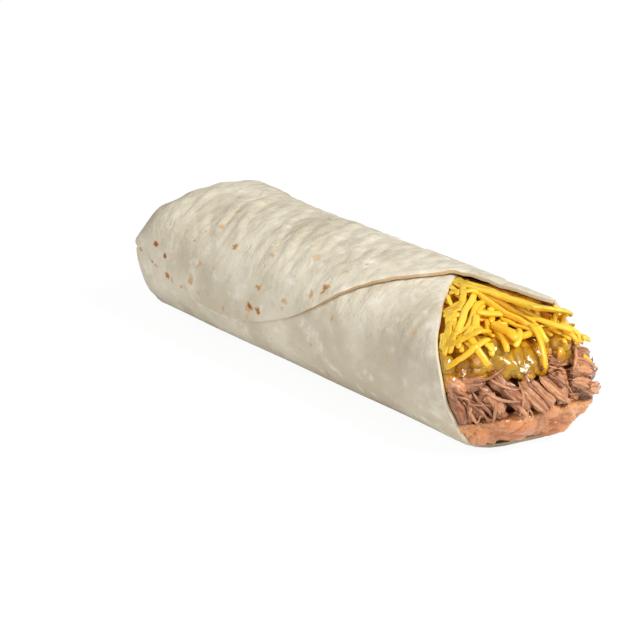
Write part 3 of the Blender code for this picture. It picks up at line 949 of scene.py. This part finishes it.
shape = make_core("green_chile", None, (14, 80, 26), 0.0030)
for vert, normal in with_normals(shape):
    shown = smooth_step((0.016 - behind_face(vert.co)) / 0.006)
    vert.co += normal * 0.0008 * bumpy(*vert.co, 0.0032, 8.0) * shown
    place = vert.co - roll
    under_flap = smooth_step((place.y + 0.004) / 0.004) * smooth_step((place.x - 0.057) / 0.006)
    roof_gap = wall_heights(place.y)[1] - place.z
    vert.co.z += 0.0016 * under_flap * smooth_step((0.003 - roof_gap) / 0.002)
cheese_finish = Finish(
    "orange cheddar shreds", Roughness=0.36, Coat_Weight=0.12, Coat_Roughness=0.25,
    Subsurface_Weight=0.30, Subsurface_Radius=(0.0030, 0.0016, 0.0003), Subsurface_Scale=1.0,
)
f = cheese_finish
where = f.place()
tint = f.attribute("shade")
colour = f.blend(srgb(254, 208, 66), srgb(249, 188, 36), f.ramp(tint, 0.15, 0.95))
colour = f.blend(colour, srgb(246, 178, 26), f.ramp(f.noise(where, 240, 3, 0.6), 0.52, 0.76) * 0.5)
surface = f.bump(f.noise(where, 800, 3, 0.6), 0.00018, 0.6)
f.set(Base_Color=colour, Normal=surface)
# Painted shade: the cheese packed behind the shreds is a darker, deeper orange, as the shreds look in shade,
# for the gaps between them.
shaded_cheese_finish = Finish("cheese behind the shreds in painted shade", Roughness=0.5)
f = shaded_cheese_finish
where = f.place()
patches = f.noise(where, 300, 3, 0.6)
colour = f.blend(srgb(246, 180, 28), srgb(222, 142, 14), f.ramp(patches, 0.36, 0.64))
f.set(Base_Color=colour, Normal=f.bump(f.noise(where, 420, 3, 0.6), 0.0008, 0.8))
finish_piece(shape, "packed_cheese", shaded_cheese_finish, "shredded_cheese")

# The shreds that lie on top, each by the y and z in mm that it passes through, and its width
CHEESE_ON_TOP = (
    (((4, 47.5), (-10, 46), (-18, 44), (-26, 36)), 0.0024), (((8, 44), (-5, 45), (-23, 39.5)), 0.0021),
    (((-6, 44.5), (5, 42), (8, 36.5)), 0.0026), (((14, 49), (9, 45.5), (4, 41.5)), 0.0017),
    (((4, 39), (1.5, 35), (0.5, 31)), 0.0021), (((-18, 40), (-17, 34)), 0.0024),
    (((-17, 38), (-27, 33)), 0.0021), (((10, 45), (13, 41), (17, 34)), 0.0030),
    (((1, 46), (-10, 45), (-20, 41)), 0.0025), (((-9.5, 41), (-17, 39), (-25, 38)), 0.0023),
    (((-8, 44), (-13, 42), (-20, 38.5)), 0.0026), (((-5, 42.5), (-6.5, 38)), 0.0036),
    (((15, 36), (21, 33)), 0.0020), (((18, 31), (21, 28)), 0.0020), (((0, 44), (6, 43), (12, 38)), 0.0024),
    (((4, 47.5), (10, 47), (17, 44)), 0.0023), (((9, 47), (15, 45), (20, 40)), 0.0024),
    (((0, 47.5), (7, 47), (12, 44)), 0.0024), (((2, 48), (9, 47.6)), 0.0022), (((7, 48), (15, 46)), 0.0024),
    (((13, 46.5), (19, 43), (22, 39)), 0.0022), (((6, 46), (12, 44), (16, 40)), 0.0023),
    (((-3, 47), (3, 45.5), (8, 42)), 0.0022),
)
LOOSE_SHREDS = 700


def in_cheese(p):
    return p.y < 0.024 and p.z > layer_top("green_chile", p.y)


random.seed(14)
guide = make_guide(cheese_setback)
tree = BVHTree.FromBMesh(guide)
pile = {}
shape = bmesh.new()
layers = shape.verts.layers.float.new("shade"), shape.verts.layers.float_vector.new("fibre")
for place, _ in surface_spots(guide, in_cheese, LOOSE_SHREDS):
    below = random.uniform(0.0, 0.0026)
    width = random.uniform(0.0018, 0.0027)
    thickness = width * random.uniform(0.5, 0.75)
    laid = lay_line(tree, place, random.uniform(0, math.tau), random.uniform(0.011, 0.024),
                    random.gauss(0, 0.6), thickness, pile, 0.0042,
                    lambda p: p.y < 0.0250 and p.z > layer_top("green_chile", p.y) - below,
                    11, 0.35, random.choice((0, 0, 0.0015)))
    if laid:
        add_strand(shape, *laid, width, thickness, 12, 8, layers, random.uniform(0.6, 0.9), 0.12)
for points, width in CHEESE_ON_TOP:
    laid = lay_through(tree, points, width * 0.62, pile)
    add_strand(shape, *laid, width, width * 0.62, 14, 10, layers, random.uniform(0.7, 0.9), 0.10)
bmesh.ops.recalc_face_normals(shape, faces=shape.faces)
finish_piece(shape, "cheese_shreds", cheese_finish)


# The table it lies on: a wide white sheet that shows nearly white and keeps a faint shadow.
floor_shape = bmesh.new()
bmesh.ops.create_grid(floor_shape, x_segments=1, y_segments=1, size=6.0)
floor_mesh = bpy.data.meshes.new("white_table")
floor_shape.to_mesh(floor_mesh)
floor = bpy.data.objects.new("white_table", floor_mesh)
bpy.context.scene.collection.objects.link(floor)
table_finish = Finish("white table", Roughness=0.9, Base_Color=(0.86, 0.86, 0.86, 1))
f = table_finish
seen = f.node("ShaderNodeLightPath", {}, {}, "Is Camera Ray")
glow = f.node("ShaderNodeEmission", {}, {"Color": (1, 1, 1, 1), "Strength": 1.06}, "Emission")
lit = Field(f.shader.outputs[0])
mixed = f.node("ShaderNodeMixShader", {}, {"Fac": seen * 0.88}, "Shader")
mixer = mixed.socket.node
feed(mixer.inputs[1], lit)
feed(mixer.inputs[2], glow)
feed(f.nodes["Material Output"].inputs["Surface"], mixed)
floor_mesh.materials.append(table_finish.material)

# Soft studio light: a pale room all round, a wide soft lamp above the open end's side and a
# weaker one from the near side.
world = bpy.data.worlds.new("pale room")
world.use_nodes = True
bpy.context.scene.world = world
room = world.node_tree.nodes["Background"]
path = Field(world.node_tree.nodes.new("ShaderNodeLightPath").outputs["Is Camera Ray"])
feed(room.inputs["Color"], (1.0, 1.0, 1.0, 1.0))
feed(room.inputs["Strength"], path * 0.60 + 0.40)


def soft_lamp(name, place, aim, size, power):
    data = bpy.data.lights.new(name, "AREA")
    data.shape = "DISK"
    data.size = size
    data.energy = power
    lamp = bpy.data.objects.new(name, data)
    lamp.location = place
    lamp.rotation_euler = (Vector(aim) - Vector(place)).to_track_quat("-Z", "Y").to_euler()
    bpy.context.scene.collection.objects.link(lamp)


soft_lamp("key lamp", (0.80, 0.20, 0.85), (0, 0, 0.03), 0.45, 12.0)
soft_lamp("fill lamp", (0.2, -1.1, 0.5), (0, 0, 0.03), 0.8, 4.2)

# The camera: a long lens, 48 degrees round from the near side and 23 degrees up.
CAMERA_DISTANCE = 0.746
azimuth, elevation = math.radians(48), math.radians(23.3)
right = Vector((math.cos(azimuth), math.sin(azimuth), 0))
level = Vector((math.sin(azimuth), -math.cos(azimuth), 0))
back = level * math.cos(elevation) + Vector((0, 0, math.sin(elevation)))
up = back.cross(right)
lens = bpy.data.cameras.new("camera")
lens.lens = 112.5
lens.sensor_width = 36
lens.clip_start = 0.01
camera = bpy.data.objects.new("camera", lens)
aim = roll + Vector((0, 0, 0.026)) - 0.0093 * right - 0.0073 * up
camera.location = aim + CAMERA_DISTANCE * back
camera.rotation_euler = back.to_track_quat("Z", "Y").to_euler()
bpy.context.scene.collection.objects.link(camera)
bpy.context.scene.camera = camera
bpy.context.scene.view_settings.view_transform = "Standard"
